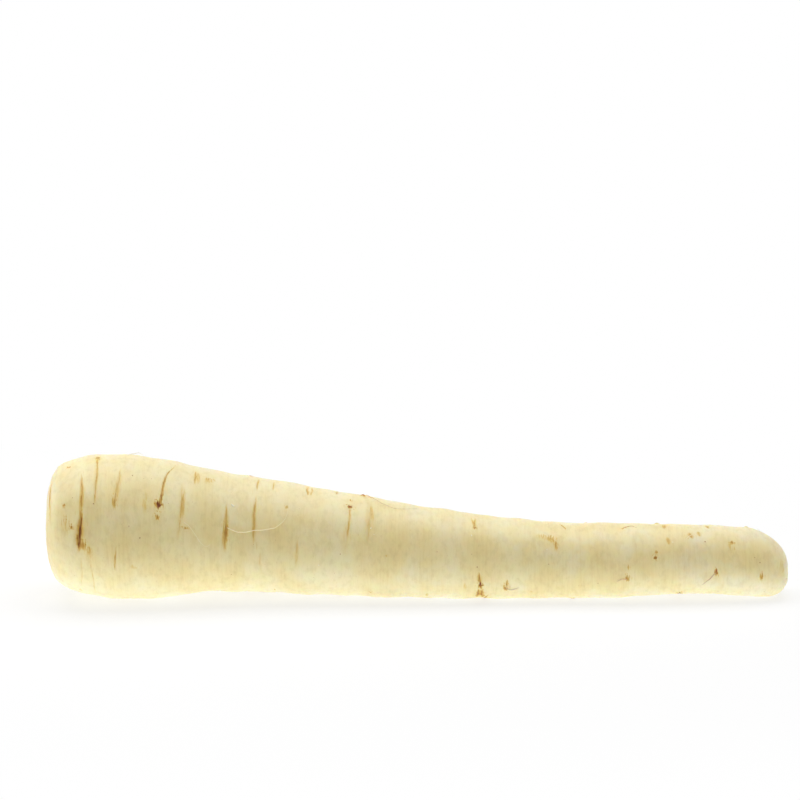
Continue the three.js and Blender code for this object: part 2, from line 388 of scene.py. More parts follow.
def more_rootlets():
    """Hairs by lot on the bare sides, and short ones by the tip."""
    random = np.random.default_rng(21)
    rootlets = []
    for _ in range(MORE_ROOTLETS):
        along, angle = random.uniform(12, ROOT_LENGTH - 25), random.uniform(*BARE_SIDES)
        path = [(along, angle, 0)]
        for _ in range(random.integers(2, 5)):
            along, angle = along + random.uniform(-1.5, 3.5), angle + random.normal(0, 9)
            path.append((along, angle, random.uniform(0.1, 0.6)))
        rootlets.append(Rootlet(path, random.uniform(0.14, 0.26), random.uniform(0.05, 0.7)))
    for _ in range(TIP_ROOTLETS):
        along, angle = random.uniform(ROOT_LENGTH - 7, ROOT_LENGTH - 2), random.uniform(*BARE_SIDES)
        path = [(along, angle, 0), (along - 1, angle + random.normal(0, 9), 0.4),
                (along - random.uniform(2, 5), angle + random.normal(0, 20), 0.3)]
        rootlets.append(Rootlet(path, random.uniform(0.1, 0.18), random.uniform(0, 0.6)))
    return rootlets


# ---- Small maths ----
def ease(t):
    return t * t * (3 - 2 * t)


def step_between(low, high, value):
    """A smooth step from 0 where the value is low to 1 where it is high. Low may be the larger of the two."""
    return ease(np.clip((value - low) / (high - low), 0, 1))


def nearest_turn(angle):
    """The same angle, between half a turn back and half a turn on."""
    return (angle + math.pi) % TURN - math.pi


def waves(u, angle, cells, seed):
    """Smooth random values from -1 to 1: a lattice step to a unit of u, and a whole number of cells round."""
    heights = np.random.default_rng(seed).uniform(-1, 1, (LATTICE_ROWS, cells))
    v = angle / TURN * cells
    i, j = np.floor(u).astype(int), np.floor(v).astype(int)
    s, t = ease(u - i), ease(v - j)

    def in_column(column):
        column = column % cells
        return heights[i % LATTICE_ROWS, column] * (1 - s) + heights[(i + 1) % LATTICE_ROWS, column] * s

    return in_column(j) * (1 - t) + in_column(j + 1) * t


def wander(u, seed):
    """Smooth random values from -1 to 1 along one line."""
    return waves(u, 0.0, 1, seed)


def layered(layers, along, angle):
    """The sum of some layers of waves, in mm."""
    return sum(height * waves(along / length, angle, cells, seed) for height, length, cells, seed in layers)


def run_along(points):
    """How far each point is from the first one, along the line through them all."""
    return np.concatenate([[0], np.cumsum(np.hypot(*np.diff(points, axis=0).T))])


# Where the stub ends, the groove and the rim are, as runs.
STUB_EDGE, GROOVE, RIM = (float(run) for run in run_along(CROWN_HOLLOW)[[2, 4, -1]])


# ---- The form ----
def taper(along, column):
    """One column of TAPER as a smooth curve that doesn't overshoot."""
    places, values = TAPER[:, 0], TAPER[:, column]
    slopes = np.diff(values) / np.diff(places)
    before, after = slopes[:-1], slopes[1:]
    turning = before * after <= 0
    inner = np.where(turning, 0, 2 * before * after / np.where(turning, 1, before + after))
    tangents = np.concatenate([slopes[:1], inner, slopes[-1:]])
    i = np.clip(np.searchsorted(places, along, side="right") - 1, 0, len(places) - 2)
    span = places[i + 1] - places[i]
    t = (along - places[i]) / span
    ends = (1 + 2 * t) * (1 - t) ** 2 * values[i] + t * t * (3 - 2 * t) * values[i + 1]
    bends = t * (1 - t) ** 2 * tangents[i] + t * t * (t - 1) * tangents[i + 1]
    return ends + span * bends


def rounded_end(distance, reach, sharpness):
    """1 along the body, falling to 0 at an end as a superellipse does."""
    t = np.clip(1 - distance / reach, 0, 1)
    return (1 - t ** sharpness) ** (1 / sharpness)


def outline_radius(along):
    crown = rounded_end(along, SHOULDER_REACH, SHOULDER_SHARPNESS)
    tip = rounded_end(ROOT_LENGTH - along, TIP_REACH, TIP_SHARPNESS)
    return taper(along, RADIUS) * crown * tip


def where_radius_is(radius, start, towards):
    """The distance, going in from an end, at which the rounded outline reaches a radius."""
    near, far = start, towards
    for _ in range(40):
        middle = (near + far) / 2
        near, far = (middle, far) if outline_radius(middle) < radius else (near, middle)
    return (near + far) / 2


def sway(along):
    """How far the root's middle line wanders to the side."""
    return 1.3 * np.sin(TURN * (along - 20) / 190) - 0.5 * np.sin(TURN * along / 83)


def lobes(along, angle):
    """The radius's share at an angle: slightly oval and lobed, and turning along the root."""
    oval = 0.01 * np.cos(2 * angle + 0.021 * along + 0.7)
    lobed = 0.008 * np.cos(3 * angle - 0.034 * along + 1.9)
    return 1 + oval + lobed


def swelling(along, angle):
    """Low swellings that go part of the way round, in mm."""
    broad = 0.09 * np.sin(TURN * along / 23 + 1.1 * np.sin(angle + 0.6))
    narrow = 0.1 * np.sin(TURN * along / 11.5 + 1.7 * np.sin(angle - 1.3) + 2)
    return broad + narrow


def curve_through(points, count):
    """Points on a smooth curve through the given ones."""
    p = np.array([points[0], *points, points[-1]], float)
    t = np.linspace(0, len(points) - 1, count)
    i = np.minimum(t.astype(int), len(points) - 2)
    t = (t - i)[:, None]
    a, b, c, d = p[i], p[i + 1], p[i + 2], p[i + 3]
    return b + 0.5 * t * (c - a + t * (2 * a - 5 * b + 4 * c - d + t * (3 * (b - c) + d - a)))


def softened(points, times):
    """The same line with its corners rounded."""
    for _ in range(times):
        points[1:-1] = (points[:-2] + 2 * points[1:-1] + points[2:]) / 4
    return points


def profile():
    """The half outline from the crown's middle to the tip's: radius, along and run of each ring of the mesh.

    The rings lie closer together towards the two ends."""
    rim = where_radius_is(CROWN_RIM_RADIUS, 0, SHOULDER_REACH)
    cut = where_radius_is(TIP_CUT_RADIUS, ROOT_LENGTH, ROOT_LENGTH - TIP_REACH)
    hollow = curve_through([(radius, rim + depth) for radius, depth in CROWN_HOLLOW], HOLLOW_STEPS)
    crowded = 0.5 - 0.5 * np.cos(math.pi * np.linspace(0, 1, SIDE_STEPS)[1:])  # towards both steep ends
    along = rim + (cut - rim) * crowded
    side = np.column_stack([outline_radius(along), along])
    face = [(TIP_CUT_RADIUS * (1 - t), cut) for t in np.linspace(0, 1, CUT_STEPS)[1:]]
    points = np.vstack([hollow, side, face])
    run = run_along(points)
    near_crown = CROWN_DENSITY * np.exp(-(run / CROWN_SPREAD) ** 2)
    near_tip = TIP_DENSITY * np.exp(-((run[-1] - run) / TIP_SPREAD) ** 2)
    density = 1 + near_crown + near_tip
    rings = np.concatenate([[0], np.cumsum(density[1:] * np.diff(run))])
    even = np.interp(np.linspace(0, rings[-1], RINGS + 1), rings, run)
    return np.interp(even, run, points[:, 0]), np.interp(even, run, points[:, 1]), even


def from_axis(along, radius):
    """How far out a place is, as a share of the radius inside which the swellings fade out."""
    return radius / (AXIS_SHARE * taper(along, RADIUS))


def place(along, angle, radius):
    """Where a place on the form is, in millimetres, before the root is centred."""
    share = np.minimum(1, from_axis(along, radius))
    grown = radius * lobes(along, angle) + swelling(along, angle) * share ** 2
    return np.stack([
        along - ROOT_LENGTH / 2,
        sway(along) - grown * np.sin(angle),
        taper(along, HEIGHT) + grown * np.cos(angle),
    ], axis=-1)


# ---- The relief of the skin ----
def marked(along, angle, girth):
    """The relief of all the marks in mm, and layers of fields that say where in a mark a place is."""
    relief = np.zeros_like(along)
    fields, nearest = {}, {}
    for kind, count in LAYERS.items():
        for k in range(count):
            nearest[kind, k] = np.full_like(along, np.inf)
            fields |= {f"{kind}{k}_{key}": np.zeros_like(along) for key in MARK_FIELDS}
    for mark in SLITS + SPOTS + hidden_marks():
        kind = mark.kind
        across, round_it = mark.coordinates(along, angle, girth)
        distance = np.hypot(across, round_it)
        relief = relief + mark.relief(across, round_it, distance)
        window = step_between(MARK_WINDOW, MARK_WINDOW - 1, mark.reached(across, round_it, distance))
        touched = window > 0
        overlaps = [np.count_nonzero(touched & (nearest[kind, k] < np.inf)) for k in range(LAYERS[kind])]
        layer = overlaps.index(min(overlaps))
        closer = touched & (distance < nearest[kind, layer])
        values = across, round_it, mark.darkness(round_it) * window, mark.amber * window
        for key, value in zip(MARK_FIELDS, values):
            name = f"{kind}{layer}_{key}"
            fields[name] = np.where(closer, value, fields[name])
        nearest[kind, layer] = np.where(closer, distance, nearest[kind, layer])
    return relief, fields


def skin_relief(along, angle):
    """Low lumps, and fine wrinkles that go round, in mm."""
    wrinkled = WRINKLED + layered(WRINKLED_PLACES, along, angle)
    return layered(LUMPS, along, angle) + layered(WRINKLES, along, angle) * wrinkled


def crown_relief(angle, run):
    """The relief of the crown's hollow and shoulder in mm, and where its brown seams are."""
    on_stub = step_between(STUB_EDGE + 0.3, STUB_EDGE - 0.3, run)
    on_side = step_between(STUB_EDGE - 0.2, STUB_EDGE + 0.6, run) * step_between(GROOVE + 0.8, GROOVE, run)
    on_wall = step_between(GROOVE - 0.2, GROOVE + 0.8, run) * step_between(RIM + 3, RIM - 1, run)
    on_shoulder = step_between(RIM - 2, RIM + 1, run) * step_between(RIM + 15, RIM + 2, run)
    threads = layered(STUB_THREADS, run, angle)
    terrace = ((run - GROOVE) / TERRACE_WIDTH + layered(TERRACE_EDGES, run, angle)) % 1
    steps = TERRACE_HEIGHT * (ease(terrace) - 0.5) * step_between(0, 0.12, terrace)
    pleats = layered(SHOULDER_PLEATS, run, angle) * step_between(RIM + 8, RIM, run)
    relief = layered(STUB_DENTS, run, angle) * on_stub + threads * on_side
    relief = relief + (steps + 0.08 * threads) * on_wall
    relief = relief + (layered(SHOULDER_CREASES, run, angle) + pleats) * on_shoulder
    edges = step_between(0.75, 1, terrace) + step_between(0.2, 0, terrace)
    return relief, np.maximum(on_stub, 0.7 * edges * on_wall * step_between(RIM + 1, RIM - 3, run))


def tip_relief(angle, left):
    """The relief of the small cut face at the tip in mm; left is the run from its middle."""
    edge = TIP_CUT_RADIUS + 0.5 * waves(3.0, angle, 7, 42)
    ring = 1.3 + 0.25 * waves(5.0, angle, 6, 43)
    face = step_between(edge + 0.35, edge - 0.35, left)
    core = np.exp(-((left - ring) / 0.3) ** 2)
    lip = 0.12 * np.exp(-((left - edge - 0.3) / 0.4) ** 2)
    return face * (layered(TIP_GRAIN, left, angle) - 0.14 * core - 0.2) + lip


def grid_normals(points):
    """Outward normals of a grid of points whose columns close round it."""
    round_way = np.roll(points, -1, axis=1) - np.roll(points, 1, axis=1)
    long_way = np.gradient(points, axis=0)
    normal = np.cross(round_way, long_way)
    length = np.linalg.norm(normal, axis=-1, keepdims=True)
    return normal / np.maximum(length, 1e-9)


def pushed_back(room):
    """How far a place with so much room to the solid's box is pushed back, so that none gets there."""
    near = np.minimum(room, MARGIN)
    return np.where(room < MARGIN, MARGIN * np.exp(near / MARGIN - 1) - room, 0)


def root_surface():
    """The root's skin as a grid of points in mm, and fields over it for the material."""
    radius, along, run = (column[:, None] for column in profile())
    angle = np.linspace(0, TURN, COLUMNS, endpoint=False)[None, :]
    radius, along, run, angle = np.broadcast_arrays(radius, along, run, angle)
    plain = place(along, angle, radius)
    left = run[-1, 0] - run
    body = step_between(0, 0.8, from_axis(along, radius))
    marks, fields = marked(along, angle, np.maximum(radius, 1))
    crown, seams = crown_relief(angle, run)
    relief = (skin_relief(along, angle) + marks) * body + crown + tip_relief(angle, left)
    points = plain + grid_normals(plain) * relief[..., None]
    points[..., :2] -= (plain[..., :2].min((0, 1)) + plain[..., :2].max((0, 1))) / 2
    low, high = np.array(cad_bounds) / MM
    points[..., :2] += pushed_back(points[..., :2] - low[:2])
    points -= pushed_back(high - points)
    points[..., 2] = np.maximum(points[..., 2], 0)
    near_ends = {"from_crown": np.minimum(run, END_STRETCH), "from_tip": np.minimum(left, END_STRETCH)}
    return points, along[:, 0], run[:, 0], fields | near_ends | {"seams": seams}


class Skin:
    """The finished skin, for laying other pieces on it."""

    def __init__(self, points, along, run):
        self.points, self.normals = points, grid_normals(points)
        self.rings, self.along, self.run = np.arange(len(along)), along, run
        self.rim, self.cut = int(np.argmin(along)), int(np.argmax(along))
        self.low, self.high = np.array(cad_bounds[0]) / MM + ROOM, np.array(cad_bounds[1]) / MM - ROOM

    def at(self, along, angle, lift):
        """A point over the skin between the two ends, in metres; angle in degrees, lift in mm."""
        between = slice(self.rim, self.cut)
        return self.over(np.interp(along, self.along[between], self.rings[between]), angle, lift)

    def at_crown(self, run, angle, lift):
        """A point over the crown by its run, in metres."""
        return self.over(np.interp(run, self.run, self.rings), angle, lift)

    def crown_place(self, depth, radius, angle):
        """A point in the crown by its depth below the rim and its radius, in metres."""
        middle, turn = self.points[0, 0], math.radians(angle)
        out = np.array((0, -math.sin(turn), math.cos(turn)))
        return (np.array((cad_bounds[0][0] / MM + depth, middle[1], middle[2])) + radius * out) * MM

    def over(self, ring, angle, lift):
        """A point over the skin between its rings and columns, kept inside the solid's box."""
        column = angle / 360 * COLUMNS
        i, j = min(int(ring), len(self.rings) - 2), math.floor(column)
        s, t = ring - i, column - j
        spot = np.zeros(3)
        for grid, share in ((self.points, 1), (self.normals, lift)):
            for ring_at, ring_share in ((i, 1 - s), (i + 1, s)):
                near, far = grid[ring_at, j % COLUMNS], grid[ring_at, (j + 1) % COLUMNS]
                spot += share * ring_share * (near * (1 - t) + far * t)
        return np.clip(spot, self.low, self.high) * MM


# ---- Making meshes ----
def placed(name, data):
    """A new object in the scene, at the origin."""
    thing = bpy.data.objects.new(name, data)
    bpy.context.scene.collection.objects.link(thing)
    return thing


def add_field(mesh, name, values):
    """One number or one direction for each vertex, for the nodes to read."""
    values = np.asarray(values, float)
    kind, key = ("FLOAT", "value") if values.ndim == 1 else ("FLOAT_VECTOR", "vector")
    mesh.attributes.new(name, kind, "POINT").data.foreach_set(key, values.ravel())


def mesh_of(name, points, edges=(), faces=(), **fields):
    mesh = bpy.data.meshes.new(name)
    mesh.from_pydata([tuple(point) for point in points], edges, faces)
    for key, values in fields.items():
        add_field(mesh, key, values)
    return mesh


def unrolled(grid):
    """The rows of a grid one after the other, the first and the last as single points."""
    return np.concatenate([grid[0, :1], grid[1:-1].reshape(-1, *grid.shape[2:]), grid[-1, :1]])


def closed_grid(name, points):
    """A mesh from a grid whose first and last rows are single points, with an even unwrap of it all."""
    rows, columns = points.shape[0] - 2, points.shape[1]
    ends = {0: 0, rows + 1: rows * columns + 1}
    every = range(columns)
    # The row and column of every corner of every face; the triangles at the ends meet over their middles.
    corners = [((0, j + 0.5), (1, j + 1), (1, j)) for j in every]
    corners += [((i, j), (i, j + 1), (i + 1, j + 1), (i + 1, j)) for i in range(1, rows) for j in every]
    corners += [((rows + 1, j + 0.5), (rows, j), (rows, j + 1)) for j in every]

    def vertex(row, column):
        return ends[row] if row in ends else 1 + (row - 1) * columns + column % columns

    faces = [[vertex(*corner) for corner in face] for face in corners]
    mesh = mesh_of(name, unrolled(points).tolist(), faces=faces)
    uv = np.array([corner for face in corners for corner in face]) / (rows + 1, columns)
    mesh.uv_layers.new(name=BAKE_UV).data.foreach_set("uv", uv.ravel())
    mesh.polygons.foreach_set("use_smooth", [True] * len(mesh.polygons))
    return mesh


# ---- Node trees ----
def shade(colour):
    """A colour written as six hexadecimal digits, as the numbers that a shader takes. Any other stays."""
    if not isinstance(colour, str):
        return colour
    parts = [int(colour[i:i + 2], 16) / 255 for i in (0, 2, 4)]
    return tuple(c / 12.92 if c <= 0.04045 else ((c + 0.055) / 1.055) ** 2.4 for c in parts) + (1,)


class Socket:
    """An output of a node, so that maths on it is written as maths."""

    def __init__(self, tree, socket):
        self.tree, self.socket = tree, socket

    def of(self, name):
        """Another output of the same node."""
        return Socket(self.tree, self.tree.find(self.socket.node.outputs, name))

    def __add__(self, other):
        return self.tree.maths("ADD", self, other)

    __radd__ = __add__

    def __sub__(self, other):
        return self.tree.maths("SUBTRACT", self, other)

    def __rsub__(self, other):
        return self.tree.maths("SUBTRACT", other, self)

    def __mul__(self, other):
        return self.tree.maths("MULTIPLY", self, other)

    __rmul__ = __mul__

    def away(self):
        """How far it is from 0."""
        return self.tree.add("ShaderNodeMath", {"operation": "ABSOLUTE"}, Value=self)

    def clamped(self):
        return self.tree.add("ShaderNodeClamp", Value=self)

    def between(self, low, high):
        """0 where it is low, 1 where it is high, with a smooth step."""
        return self.tree.add(
            "ShaderNodeMapRange", {"interpolation_type": "SMOOTHSTEP"},
            Value=self, **{"From Min": low, "From Max": high},
        )


class Tree:
    """A node tree that nodes are added to."""

    def __init__(self, nodes):
        self.nodes = nodes

    def find(self, sockets, name):
        return next(s for s in sockets if name in (s.identifier, s.name))

    def add(self, kind, settings=(), **inputs):
        """Adds a node: first its settings, then its inputs, and gives its first output."""
        node = self.nodes.nodes.new(kind)
        for name, value in dict(settings).items():
            setattr(node, name, value)
        for name, value in inputs.items():
            socket = self.find(node.inputs, name)
            if isinstance(value, Socket):
                self.nodes.links.new(value.socket, socket)
            else:
                socket.default_value = value
        return Socket(self, node.outputs[0]) if node.outputs else None

    def maths(self, operation, a, b):
        return self.add("ShaderNodeMath", {"operation": operation}, Value=a, Value_001=b)

    def vectors(self, operation, a, **inputs):
        return self.add("ShaderNodeVectorMath", {"operation": operation}, Vector=a, **inputs)

    def apart(self, vector):
        """The X of a vector; its Y and Z are outputs of the same node."""
        return self.add("ShaderNodeSeparateXYZ", Vector=vector)

    def mix(self, a, b, share, blend="MIX"):
        """Colour a where share is 0, colour b where it is 1. Each is written down or comes from a node."""
        return self.add(
            "ShaderNodeMix", {"data_type": "RGBA", "blend_type": blend},
            Factor_Float=share, A_Color=shade(a), B_Color=shade(b),
        ).of("Result_Color")

    def tint(self, colour, by, share):
        """A colour multiplied by another, as far as share says."""
        return self.mix(colour, by, share, "MULTIPLY")

    def ramp(self, share, stops):
        """A colour looked up along stops of a place and a colour."""
        node = self.add("ShaderNodeValToRGB", Fac=share)
        elements = node.socket.node.color_ramp.elements
        while len(elements) < len(stops):
            elements.new(0.5)
        for element, (place_at, colour) in zip(elements, stops):
            element.position, element.color = place_at, shade(colour)
        return node

    def field(self, name):
        return self.add("ShaderNodeAttribute", {"attribute_name": name}).of("Fac")

    def where(self):
        """A place on the piece, in metres."""
        return self.add("ShaderNodeTexCoord").of("Object")

    def noise(self, along, round_it, detail, offset=0):
        """Noise drawn out round the root: the size of its cells in mm along the root, and round it."""
        scale = 1 / MM / along, 1 / MM / round_it, 1 / MM / round_it
        cells = self.add("ShaderNodeMapping", Vector=self.where(), Location=(offset,) * 3, Scale=scale)
        return self.add("ShaderNodeTexNoise", Vector=cells, Scale=1.0, Detail=detail, Roughness=0.55)


def emptied(thing):
    """The tree of a material or the world, with no nodes yet."""
    thing.use_nodes = True
    thing.node_tree.nodes.clear()
    return Tree(thing.node_tree)


def new_material(name):
    material = bpy.data.materials.new(name)
    return material, emptied(material)


def finish_skin(tree, colour, roughness, height, depth, strength, **flesh):
    """Ends a material that a height bumps, so deep in mm and so strongly, with what flesh adds to it."""
    bump = tree.add("ShaderNodeBump", Strength=strength, Distance=depth * MM, Height=height)
    inputs = {"Base Color": colour, "Roughness": roughness, "Normal": bump, "IOR": 1.4} | flesh
    surface = tree.add("ShaderNodeBsdfPrincipled", {"subsurface_method": "RANDOM_WALK"}, **inputs)
    tree.add("ShaderNodeOutputMaterial", Surface=surface)


class Grower(Tree):
    """A geometry node tree with named sizes, which is run once on a mesh and leaves a plain piece."""
    KINDS = {int: "NodeSocketInt", float: "NodeSocketFloat", bpy.types.Material: "NodeSocketMaterial"}

    def __init__(self, name, material, **sizes):
        super().__init__(bpy.data.node_groups.new(name, "GeometryNodeTree"))
        self.name, self.sizes = name, {"Material": material} | sizes
        sockets = self.nodes.interface
        sockets.new_socket("Geometry", in_out="OUTPUT", socket_type="NodeSocketGeometry")
        sockets.new_socket("Geometry", in_out="INPUT", socket_type="NodeSocketGeometry")
        for size, value in self.sizes.items():
            sockets.new_socket(size, in_out="INPUT", socket_type=self.KINDS[type(value)])
        self.given = self.add("NodeGroupInput")

    def size(self, name):
        return self.given.of(name)

    def attribute(self, name, kind="FLOAT"):
        return self.add("GeometryNodeInputNamedAttribute", {"data_type": kind}, Name=name)

    def where(self):
        return self.add("GeometryNodeInputPosition")

    def scaled(self, vector, by):
        return self.vectors("SCALE", vector, Scale=by)

    def ruffled(self, geometry, cells, height):
        """The same geometry with every point moved a little, by noise with so many cells to a metre."""
        noise = self.add("ShaderNodeTexNoise", Vector=self.where(), Scale=cells, Detail=1.0).of("Color")
        offset = self.scaled(self.vectors("SUBTRACT", noise, Vector_001=(0.5, 0.5, 0.5)), height)
        return self.add("GeometryNodeSetPosition", Geometry=geometry, Offset=offset)

    def by_lot(self, low, high, seed):
        """A random number for each point."""
        return self.add("FunctionNodeRandomValue", Min_001=low, Max_001=high, Seed=seed).of("Value_001")

    def put_on(self, points, shape, rotation, size):
        """A shape put on every point, turned and sized by the point's own values."""
        return self.add(
            "GeometryNodeInstanceOnPoints", Points=points, Instance=shape, Rotation=rotation, Scale=size,
        )

    def extruded(self, mesh, mode, scale=1.0, **inputs):
        """Edges or faces drawn out, as one."""
        inputs |= {"Mesh": mesh, "Individual": False, "Offset Scale": scale}
        return self.add("GeometryNodeExtrudeMesh", {"mode": mode}, **inputs)

    def solid(self, faces, scale=1.0, **inputs):
        """Faces drawn out to a closed solid."""
        drawn_out = self.extruded(faces, "FACES", scale, **inputs)
        back = self.add("GeometryNodeFlipFaces", Mesh=faces)
        both = self.add("GeometryNodeJoinGeometry", Geometry=drawn_out)
        self.nodes.links.new(back.socket, both.socket.node.inputs[0])
        return self.add("GeometryNodeMergeByDistance", Geometry=both, Distance=0.001 * MM)

    def grow(self, seeds, grown):
        """Ends the tree with what has grown, runs it on a mesh of seeds, and gives the piece."""
        smooth = self.add("GeometryNodeSetShadeSmooth", Geometry=grown)
        real = self.add("GeometryNodeRealizeInstances", Geometry=smooth)
        done = self.add("GeometryNodeSetMaterial", Geometry=real, Material=self.size("Material"))
        self.add("NodeGroupOutput", Geometry=done)
        piece = placed(self.name, seeds)
        modifier = piece.modifiers.new("grow", "NODES")
        modifier.node_group = self.nodes
        for item in self.nodes.interface.items_tree:
            if item.in_out == "INPUT" and item.name in self.sizes:
                modifier[item.identifier] = self.sizes[item.name]
        mesh = bpy.data.meshes.new_from_object(piece.evaluated_get(bpy.context.evaluated_depsgraph_get()))
        mesh.materials.clear()
        mesh.materials.append(self.sizes["Material"])
        mesh.polygons.foreach_set("material_index", [0] * len(mesh.polygons))
        piece.modifiers.remove(modifier)
        piece.data = mesh
        return piece


# ---- Materials ----
STAIN_COLOURS = [(0, "f0e39c"), (0.22, "e3c36c"), (0.45, "c79747"), (0.7, "9a5e34"), (1, "763c18")]


def mark_fields(tree, layer):
    """Where in a mark a place is, across it and along it, and how dark and how amber the mark is."""
    return [tree.field(f"{layer}_{key}") for key in MARK_FIELDS]


def stained_by_slits(tree, k, threads, fleck):
    """How stained one layer of slits makes the skin, and how open its cracks are."""
    across, round_it, dark, amber = mark_fields(tree, f"slit{k}")
    square, ends = across * across, round_it * round_it
    ragged = (fleck - 0.5) * 2
    core = 1 - (square + ends + ragged).between(-0.3, 2.0)
    veil = 1 - (square * 0.22 + ends + ragged * 0.4).between(-0.3, 1.1)
    halo = 1 - (square * 0.055 + ends * 0.75).between(0.0, 1.0)
    crack = (1 - (across + (threads - 0.5) * 0.8).away().between(0, 0.6)) * (1 - ends.between(0.3, 0.9))
    stain = core * dark * (0.17 + 0.34 * threads) + veil * amber * (0.03 + 0.2 * threads)
    stain = stain + crack * (0.16 * dark + 0.12 * amber) + halo * amber * 0.27
    return stain, crack * (dark + 0.3 * amber)


def stained_by_spots(tree, k, threads, fleck):
    """How stained one layer of spots makes the skin."""
    across, round_it, dark, amber = mark_fields(tree, f"spot{k}")
    bent_across = across + (fleck - 0.5) * 2.2
    bent_round = round_it + (threads - 0.5) * 0.9
    square = bent_across * bent_across + bent_round * bent_round
    core = 1 - square.between(0.0, 1.5)
    veil = 1 - (square * 0.32 + (fleck - 0.5) * 0.8).between(-0.2, 1.1)
    return core * dark * (0.45 + 0.3 * threads) + veil * amber * (0.24 + 0.26 * threads)


def root_skin():
    """Cream skin, mottled and streaked, stained by its marks, browned in the crown and cut at the tip."""
    material, tree = new_material("parsnip_skin")
    streaks = tree.noise(0.8, 12, 2)
    bands = tree.noise(7, 20, 1, 3)
    mottle = tree.noise(11, 9, 3, 7)
    patches = tree.noise(1.7, 2.6, 3, 19)
    grain = tree.noise(0.25, 0.4, 2, 11)
    fleck = tree.noise(0.5, 0.9, 3, 17)
    fibre = tree.noise(0.3, 1.8, 2, 29)
    threads = tree.noise(0.24, 3.2, 1, 23).between(0.36, 0.64)

    colour = tree.mix("f8ecc0", "f6e7b2", bands.between(0.3, 0.7))
    pale = 0.22 + 0.3 * tree.apart(tree.where()).between(-0.03, 0.05)  # more of it towards the tip
    colour = tree.mix(colour, "f3eed8", mottle.between(0.45, 0.72) * pale)
    colour = tree.mix(colour, "efda9c", (1 - mottle.between(0.3, 0.52)) * 0.32)
    for tone, share in (
        ("ece2c2", streaks.between(0.42, 0.7) * bands.between(0.3, 0.6) * 0.2),
        ("e9e6d4", patches.between(0.45, 0.7) * 0.34),
        ("e6e0c6", fibre.between(0.48, 0.72) * 0.14),
        ("dccb98", fleck.between(0.64, 0.78) * 0.3),
    ):
        colour = tree.tint(colour, tone, share)

    stain, cracks = 0.0, 0.0
    for k in range(LAYERS["slit"]):
        by_slits, opened = stained_by_slits(tree, k, threads, fleck)
        stain, cracks = stain + by_slits, cracks + opened
    for k in range(LAYERS["spot"]):
        stain = stain + stained_by_spots(tree, k, threads, fleck)
    peeled = grain.between(0.6, 0.72) * stain.between(0.35, 0.6)
    stain = (stain * (0.85 + 0.3 * grain) - peeled * 0.2).clamped()
    colour = tree.mix(colour, tree.ramp(stain, STAIN_COLOURS), stain.between(0.0, 0.3))

    # The crown: a tinge past the rim, brown in the groove and on the torn edges, cut flesh on the stub.
    from_crown, from_tip, seams = tree.field("from_crown"), tree.field("from_tip"), tree.field("seams")
    ragged_run = from_crown + (fleck - 0.5) * 3
    stub_flesh = tree.mix("e6dbab", "c9b877", mottle.between(0.35, 0.65))
    stub_flesh = tree.tint(stub_flesh, "c9a96c", fibre.between(0.45, 0.7) * 0.5)
    on_stub = 1 - (from_crown + (fibre - 0.5) * 1.2).between(STUB_EDGE - 0.5, STUB_EDGE)
    browned = (1 - ragged_run.between(GROOVE + 0.6, RIM - 1.5)) * (0.55 + 0.6 * (fibre - 0.3))
    # The tip: paler flesh on the cut, with a dried edge and its ring of core.
    tip_run = from_tip + (fleck - 0.5) * 1.6 + (mottle - 0.5) * 3
    tip_flesh = tree.mix("f3e8c0", "dcc690", fibre.between(0.4, 0.7))
    dried_edge = 1 - (tip_run - TIP_CUT_RADIUS).away().between(0, 0.8)
    core_ring = 1 - (tip_run - 0.45 * TIP_CUT_RADIUS).away().between(0, 0.6)
    for tone, share in (
        ("d9b878", (1 - ragged_run.between(RIM - 2, RIM + 9)) * 0.5),
        ("8a5c34", browned.clamped()),
        ("4c2e1b", (1 - (ragged_run - GROOVE).away().between(0.2, 1.6)) * 0.75),
        (stub_flesh, on_stub),
        ("5d3a20", (seams * (0.45 + 0.9 * fibre)).clamped() * 0.85),
        (tip_flesh, 1 - tip_run.between(TIP_CUT_RADIUS - 0.5, TIP_CUT_RADIUS + 0.3)),
        ("b98d50", dried_edge * grain.between(0.3, 0.65) * 0.75),
        ("cdb47c", core_ring * fibre.between(0.3, 0.6) * 0.7),
    ):
        colour = tree.mix(colour, tone, share)

    roughness = 0.45 + 0.1 * (mottle - 0.5) + 0.25 * stain
    height = streaks * 0.1 + patches * 0.3 + grain * 0.14 + fibre * 0.08 - stain * 0.4 - cracks
    finish_skin(tree, colour, roughness, height, 0.18, 0.45, **{
        "Subsurface Weight": 0.7, "Subsurface Radius": (1.0, 0.68, 0.28), "Subsurface Scale": 4 * MM,
        "Specular IOR Level": 0.45,
    })
    return material


def fibre_skin(name, pale, dark):
    """Dry root and leaf fibres: pale to brown by their own attribute, flecked along their length."""
    material, tree = new_material(name)
    fleck, grain = tree.noise(0.6, 0.6, 2, 31), tree.noise(0.2, 0.2, 1, 37)
    colour = tree.mix(pale, dark, (tree.field("brown") + (fleck - 0.5) * 0.9).clamped())
    finish_skin(tree, colour, 0.5 + 0.3 * (fleck - 0.5), grain, 0.05, 0.3)
    return material


